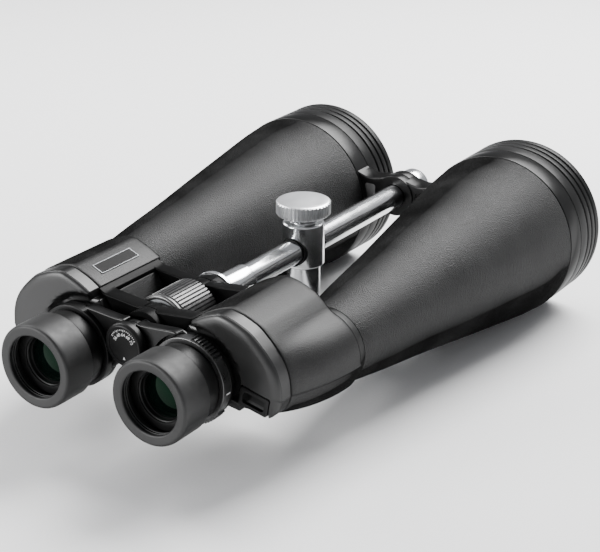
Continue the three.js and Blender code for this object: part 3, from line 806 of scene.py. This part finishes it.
def digits(text, size, at, turn):
    """Flat raised numerals as a solid, seen from the eyepiece end, their middle at (x, z)."""
    curve = bpy.data.curves.new("digits", "FONT")
    curve.body, curve.size, curve.extrude = text, size, 0.04
    curve.align_x, curve.align_y = "CENTER", "CENTER"
    holder = bpy.data.objects.new("digits", curve)
    bpy.context.scene.collection.objects.link(holder)
    mesh = holder.evaluated_get(bpy.context.evaluated_depsgraph_get()).to_mesh()
    c, s = math.cos(turn), math.sin(turn)
    points = [(at[0] + v.co.x * c - v.co.y * s, -v.co.z, at[1] + v.co.x * s + v.co.y * c)
              for v in mesh.vertices]
    solid = points, [tuple(p.vertices) for p in mesh.polygons]
    bpy.data.curves.remove(curve)
    return solid


DIAL_NUMBERS = (56, 60, 64, 68, 72)
DIAL_START, DIAL_STEP, DIAL_R = 150, 30, 5.6    # degrees, degrees from number to number, mm
TICKS_A_STEP = 4


def dial_marks():
    """An interpupillary scale: a pointer, ticks and plain numbers round the cap's face."""
    solids = []
    pointer = [(-0.7, -7.4), (0.7, -7.4), (0, -5.9)]
    solids.append(slab(pointer, -0.04, 0.04, 0, 0.05))
    for i, number in enumerate(DIAL_NUMBERS):
        angle = math.radians(DIAL_START - DIAL_STEP * i)
        middle = (DIAL_R * math.cos(angle), DIAL_R * math.sin(angle))
        solids.append(digits(str(number), 2.3, middle, angle - math.pi / 2))
    for k in range((len(DIAL_NUMBERS) - 1) * TICKS_A_STEP + 1):
        angle = math.radians(DIAL_START - DIAL_STEP / TICKS_A_STEP * k)
        inner, outer, half = 7.7 if k % TICKS_A_STEP else 7.2, 8.4, 0.14
        c, s = math.cos(angle), math.sin(angle)
        corners = [(inner, -half), (outer, -half), (outer, half), (inner, half)]
        solids.append(slab([(r * c - w * s, r * s + w * c) for r, w in corners], -0.04, 0.04, 0, 0.03))
    return on_cap(together(*solids))


# ---- eyepiece bridge --------------------------------------------------------------------------
ARM_Y = (-5.2, 0.8)
HUBS = {"left": (-5.2, -2.4), "right": (-2.1, 0.6)}
HUB_R = 10
FLANGE_Y = (-0.6, 2.2)
BRIDGE_ARM = [(3.4, 10.9), (8, 10.5, 3), (19, 11.4, 4), (28, 12.2, 3), (35, 8), (30, -20), (22.5, -24.6, 3),
              (14.5, -18.6, 4), (5.5, -11.5)]


def bridge_arm(name):
    """The arm from the focus tube to one eyepiece, with its hub and the eyepiece's flange."""
    other = "left" if name == "right" else "right"
    arm = carve(slab(BRIDGE_ARM, *ARM_Y, 0.7, 1.5),
                washer(0, 23.1, -9, FLANGE_Y[0], OCULAR, 120, 0),
                washer(0, HUB_R + GAP, HUBS[other][0] - GAP, HUBS[other][1] + GAP, bevel=0))
    whole = fuse(arm, washer(12, 21.4, *FLANGE_Y, OCULAR, 120, 0.4),
                 washer(3, HUB_R, *HUBS[name], HINGE, 96, 0.3))
    return carve(whole, washer(0, 18.9, -9, 9, OCULAR, 120, 0), washer(0, 5.9, -9, 9, bevel=0))


# ---- eyepieces --------------------------------------------------------------------------------
def ocular_body():
    """The eyepiece's body: the cup's tube, the collar, the seat and the tube into the housing."""
    outer = [(17.2, -27.2, 0.4), (17.2, -15.6), (19.6, -15.6, 0.4), (19.6, -8.1, 0.4), (18.5, -8.1),
             (18.5, 1.6, 0.4), (12.6, 1.6), (12.6, 13.6), (11.2, 13.6), (11.2, 11.6), (9.6, 11.6)]
    inner = [(9.6, -20.4), (12.0, -20.4), (12.0, -23.6), (12.5, -24.2, 0.2), (12.5, -26.0, 0.2),
             (13.2, -26.4, 0.2), (13.2, -27.2, 0.2)]
    return lathe(rounded([*outer, *inner], 0.2), OCULAR, 120)


def eyecup():
    """The twist-up cup: skirt with a lip round the cam ring, inner rings and a flat rim."""
    skirt = [(19.25, -17.4, 0.1), (19.25, -18.2, 0.1), (19.5, -18.5, 0.1), (19.5, -27.8),
             (17.9, -27.8, 0.2), (17.9, -28.6, 0.2), (17.2, -28.8, 0.2), (17.2, -30.0, 0.2)]
    rings = [(16.6, -30.2, 0.1), (16.6, -30.9, 0.1), (16.3, -31.0, 0.1), (16.3, -31.3, 0.1),
             (16.6, -31.4, 0.1), (16.6, -32.4, 0.1), (16.3, -32.5, 0.1), (16.3, -32.8, 0.1),
             (16.6, -32.9, 0.1)]
    crown = [(16.0, -35.2, 0.4), (16.6, -35.75, 0.4), (20.5, REAR_RIM_Y, 0.9), (21.5, -35.5, 0.7),
             (21.8, -34.0, 0.8), (21.8, -17.8, 0.4), (21.4, -17.4, 0.3)]
    return lathe(rounded([*skirt, *rings, *crown], 0.3, 4), OCULAR, 120)


def eye_lens():
    """The eye lens, slightly domed towards the eye."""
    dome = [(11.9 * t, -25.2 + 1.8 * t * t) for t in [k / 10 for k in range(11)]]
    return lathe([*dome, (11.9, -20.8), (0, -20.8)], OCULAR, 96)


CAM_SLOTS, CAM_SLOT_WIDTH = (0.4, 2.5, 4.6), 0.12     # radians


def cam_ring():
    """The ring under the cup, with three slots for the cam pins."""
    def at(radius, angle):
        return OCULAR[0] + radius * math.cos(angle), OCULAR[1] + radius * math.sin(angle)

    profile = rounded([(17.5, -25.6), (19.2, -25.6), (19.2, -15.9), (17.5, -15.9)], 0.12)
    slots = []
    for start in CAM_SLOTS:
        end = start + CAM_SLOT_WIDTH
        slots.append(slab([at(17, start), at(20, start), at(20, end), at(17, end)], -24.6, -18, 0, 0.3))
    return carve(lathe(profile, OCULAR, 96), *slots)


PAD_ANGLES = (62, 182, 302)
PAD_HALF = 23.0
PAD_RIBS = 9


def dioptre_shape(angle, radius, along):
    """Three raised pads with ribs across them."""
    if radius < 21 or not -6.35 < along < -1.1:
        return radius
    degrees = math.degrees(angle)
    off = min(abs((degrees - pad + 180) % 360 - 180) for pad in PAD_ANGLES)
    if off > PAD_HALF:
        return radius
    rise = 1.1 * smoothstep((PAD_HALF - off) / 2.2)
    phase = (off / (2 * PAD_HALF / PAD_RIBS) + 0.5) % 1.0
    valley = smoothstep(2.2 - min(phase, 1 - phase) / 0.12)
    return radius + rise * (1 - 0.95 * min(1.0, valley))


def dioptre_ring():
    """The right eyepiece's setting ring."""
    profile = rounded([(18.9, -6.6), (21.2, -6.6, 0.2), (21.5, -6.4, 0.1), (21.5, -6.1, 0.1),
                       (21.5, -1.4, 0.1), (21.5, -1.1, 0.1), (21.2, -0.9, 0.2), (18.9, -0.9)], 0.15)
    return lathe(profile, OCULAR, 360, dioptre_shape)


INDEX_ANGLE, INDEX_HALF_WIDTH = -7, 0.35     # degrees, mm


def index_mark():
    """A short white line on the dioptre ring between two pads."""
    turn, half = math.radians(INDEX_ANGLE), INDEX_HALF_WIDTH
    c, s = math.cos(turn), math.sin(turn)
    corners = [(21.3, -half), (21.6, -half), (21.6, half), (21.3, half)]
    outline = [(OCULAR[0] + r * c - w * s, OCULAR[1] + r * s + w * c) for r, w in corners]
    return slab(outline, -4.3, -1.5, 0, 0.03)


def plain_ring():
    """The left eyepiece's ring, with no pads."""
    profile = [(18.9, -6.6), (21.2, -6.6, 0.3), (21.5, -6.2, 0.2), (21.5, -1.3, 0.2), (21.2, -0.9, 0.3),
               (18.9, -0.9)]
    return lathe(rounded(profile, 0.15), OCULAR, 120)


# ---- tripod post ------------------------------------------------------------------------------
STEM_R = 9.4
KNOB_RIBS = 40


def post_sleeve():
    """The sleeve on the rod, bored across for it and from above for the clamp screw."""
    profile = [(0, -9.6), (11.2, -9.6, 0.3), (11.7, -9.1, 0.3), (11.7, 14.4, 0.3), (11.0, 15.2, 0.3),
               (7.5, 15.2), (7.5, 18.8), (3.3, 18.8), (3.3, 13.4), (4.8, 13.4), (4.8, 4), (0, 4)]
    body = upright_lathe(rounded(profile, 0.2, closed=False), 120)
    return carve(body, washer(0, 8.3, POST_Y - 20, POST_Y + 20, HINGE, 96, 0))


def post_stem():
    """The post's stem, bored from below for the threaded insert."""
    profile = [(0, -46), (5.3, -46), (5.3, FOOT_Z), (8.6, FOOT_Z, 0.4), (STEM_R, FOOT_Z + 0.8, 0.4),
               (STEM_R, -10.4), (9.0, -9.9), (0, -9.9)]
    return upright_lathe(rounded(profile, 0.25, closed=False), 120)


THREAD_TURNS, THREAD_PITCH = 10, 1.27


def tripod_insert():
    """The brass insert, its thread drawn as rings."""
    foot = FOOT_Z + GAP
    thread = []
    for k in range(THREAD_TURNS):
        z = foot + 0.4 + k * THREAD_PITCH
        thread += [(3.18, z + 0.15), (3.75, z + 0.62), (3.18, z + 1.1)]
    return upright_lathe([(3.2, foot), *thread, (3.18, -46.4), (5, -46.4), (5, foot)], 64)


def clamp_knob():
    """The knurled knob with a gently domed top."""
    crown = [(15.2 - 1.6 * t, 26.6 + 0.9 * math.sin(t * math.pi / 2)) for t in (0, 0.3, 0.6, 1.0)]
    top = [(13.6 * (1 - t), 27.5 + 0.3 * (1 - (1 - t) ** 2)) for t in [k / 6 for k in range(1, 7)]]
    top[-1] = (0, 27.8)
    profile = [(0, 22.4), (3.3, 22.4), (3.3, 19.1), (13.4, 19.1), (14.4, 19.5), (15.2, 20.4), (15.2, 25.4),
               *crown, *top]
    grooves = ribs(KNOB_RIBS, 1.0, 0.5, lambda r, z: 19.6 < z < 26.8 and r > 14.6)
    return upright_lathe(profile, KNOB_RIBS * 8, grooves)


# ---- build ------------------------------------------------------------------------------------
def build_half(name, side):
    """Everything fixed to one half: barrel, cell, housing, cover, lug and hinge arms."""
    half = f"{name}_half"
    parts = [
        ("barrel", barrel(), ARMOUR, "armour"), ("objective_cell", cell(), SATIN, "satin_black"),
        ("objective_lens", objective_lens(), LENS, "lens_glass"),
        ("lens_retainer", lens_retainer(), CAST, "matte_black"),
        ("front_bridge", front_bridge(name), CAST, "matte_black"),
        ("prism_housing", housing(), ARMOUR_FINE, "armour"),
        ("rear_cover", cover(), COVER_PAINT, "satin_black"),
        ("strap_lug", strap_lug(), SATIN, "satin_black"),
        ("hinge_frame", hinge_frame(name), FRAME_BLACK, "matte_black"),
    ]
    for part, solid, material, slot in parts:
        piece(f"{name}_{part}_skin", mirrored(solid, side), material, half, [f"{name}_{part}"])


def build_eyepiece(name, side):
    """The bridge arm, the eyepiece on it and the twist-up cup."""
    bridge = f"{name}_bridge"
    optics = "right_eyepiece" if name == "right" else "left_bridge"
    parts = [
        ("bridge_arm", bridge_arm(name), CAST, "matte_black", bridge),
        ("ocular_body", ocular_body(), SATIN, "satin_black", optics),
        ("eye_lens", eye_lens(), LENS, "lens_glass", optics),
        ("cup_cam_ring", cam_ring(), CAST, "matte_black", f"{name}_cup_ring"),
        ("eyecup", eyecup(), SOFT, "soft_rubber", f"{name}_cup"),
    ]
    for part, solid, material, slot, body in parts:
        piece(f"{name}_{part}_skin", mirrored(solid, side), material, body, [f"{name}_{part}"])


for side_name, side_sign in SIDES:
    build_half(side_name, side_sign)
    build_eyepiece(side_name, side_sign)

SINGLES = [
    ("center_rod", center_rod(), CHROME, "center", "bright_metal"),
    ("hinge_bushing", washer(6, 7, 8.2, 18.2), STEEL, "center", "steel"),
    ("rod_washer", washer(ROD_R + GAP, 13, 62.9, 65.4, bevel=0.6), CHROME, "center", "bright_metal"),
    ("rod_end_cap", rod_end_cap(), CHROME, "center", "bright_metal"),
    ("focus_wheel", wheel_core(), BRACKET, "wheel", "bracket"),
    ("focus_wheel_grip", wheel_grip(), GRIP, "wheel", "soft_rubber"),
    ("focus_tube", washer(3.9, 5.6, -6.2, 42), STEEL, "carriage", "steel"),
    ("hinge_cap", hinge_cap(), SATIN, "carriage", "satin_black"),
    ("dioptre_ring", dioptre_ring(), GRIP, "dioptre", "satin_black"),
    ("left_ocular_ring", mirrored(plain_ring(), -1), SATIN, "left_bridge", "satin_black"),
    ("post_bush", washer(ROD_R + GAP, 8, POST_Y - 10.5, POST_Y + 10.5), CAST, "post_slider", "matte_black"),
    ("post_sleeve", post_sleeve(), CHROME_POST, "post", "bright_metal"),
    ("post_stem", post_stem(), CHROME_POST, "post", "bright_metal"),
    ("tripod_insert", tripod_insert(), BRASS, "post", "brass"),
    ("clamp_knob", clamp_knob(), KNOB_METAL, "knob", "bright_metal"),
]
for single, solid, material, body, slot in SINGLES:
    piece(f"{single}_skin", solid, material, body, [single])
piece("dial_marks", dial_marks(), INK, "carriage")
piece("dioptre_index", index_mark(), INK, "dioptre")

for kept, material in KEPT_NODES.items():
    mesh_object = NODES[kept]
    mesh_object.data.materials.clear()
    mesh_object.data.materials.append(material)


PLATE_EDGES = (Vector((35.9, 19.5)), Vector((42.4, 22.3)))      # x, z on the housing's slope


def name_plate():
    """A blank plate on the left housing's inner slope, with a raised rim."""
    start, end = PLATE_EDGES
    along = (end - start).normalized()
    out = Vector((-along.y, along.x))

    def sheet(y0, y1, shrink, base, top):
        """A bevelled sheet from base to top above the slope, drawn in at both its long edges."""
        a, b = start + along * shrink, end - along * shrink
        rings = []
        for lift, bevel in ((base, 0), (top - 0.1, 0), (top, 0.1)):
            ends = [(a + along * bevel, y0 + bevel), (b - along * bevel, y0 + bevel),
                    (b - along * bevel, y1 - bevel), (a + along * bevel, y1 - bevel)]
            rings.append([((p + out * lift).x, y, (p + out * lift).y) for p, y in ends])
        return loft(rings)

    rim = carve(sheet(18.5, 47.6, 0, -0.6, 0.35), sheet(18.8, 47.3, 0.25, 0.12, 2))
    field = sheet(18.85, 47.25, 0.3, -0.5, 0.2)
    return rim, field


plate_rim, plate_field = name_plate()
piece("name_plate_rim", mirrored(plate_rim, -1), BRACKET, "left_half")
piece("name_plate_field", mirrored(plate_field, -1), FRAME_BLACK, "left_half")


# ---- stage, light and camera ------------------------------------------------------------------
FLOOR_SIZE = 6.0        # metres from its middle to each side
AIM = (0, 0, 0.06)      # what the lights point at
LIGHTS = [              # name, place, size in metres, power in watts
    ("key", (0.12, 0.88, 1.1), (1.0, 0.9), 58),
    ("left", (-1.1, 0.1, 0.8), (0.4, 0.9), 13),
    ("front", (-0.85, -1.25, 0.45), (0.7, 0.4), 26),
]
CAMERA_PLACE, CAMERA_TARGET = (0.44631, -0.66045, 0.37763), (0.01028, 0.00294, 0.0509)
FOCAL_LENGTH = 94.19


def floor():
    """A plain pale sheet of paper under the part."""
    size = FLOOR_SIZE
    corners = [(-size, -size, 0), (size, -size, 0), (size, size, 0), (-size, size, 0)]
    mesh = bpy.data.meshes.new("floor")
    mesh.from_pydata(corners, [], [(0, 1, 2, 3)])
    s = Surface("floor_paper", Specular_IOR_Level=0.2)
    fibre = s.noise(900, 3)
    s.colour(fibre, [(0.3, grey(0.86)), (0.7, grey(0.9))])
    s.roughness(s.span(fibre, 0.3, 0.7, 0.75, 0.9))
    mesh.materials.append(s.material)
    obj = bpy.data.objects.new("floor", mesh)
    bpy.context.scene.collection.objects.link(obj)


def look_at(obj, place, target):
    obj.location = place
    obj.rotation_euler = (Vector(target) - Vector(place)).to_track_quat("-Z", "Y").to_euler()


def softbox(name, place, size, power):
    """A rectangular light of a size in metres and a power in watts, turned to the part."""
    light = bpy.data.lights.new(name, "AREA")
    light.shape = "RECTANGLE"
    light.size, light.size_y = size
    light.energy = power
    obj = bpy.data.objects.new(name, light)
    bpy.context.scene.collection.objects.link(obj)
    look_at(obj, place, AIM)


def studio():
    """A dim even surround, a large soft key light behind and above, and two weaker soft lights."""
    world = bpy.data.worlds.new("studio")
    world.use_nodes = True
    world.node_tree.nodes["Background"].inputs["Color"].default_value = (0.95, 0.96, 1, 1)
    world.node_tree.nodes["Background"].inputs["Strength"].default_value = 0.5
    bpy.context.scene.world = world
    for name, place, size, power in LIGHTS:
        softbox(name, place, size, power)


def camera():
    data = bpy.data.cameras.new("camera")
    data.lens = FOCAL_LENGTH
    data.sensor_width = 36
    data.clip_end = 50
    obj = bpy.data.objects.new("camera", data)
    bpy.context.scene.collection.objects.link(obj)
    look_at(obj, CAMERA_PLACE, CAMERA_TARGET)
    bpy.context.scene.camera = obj


floor()
studio()
camera()
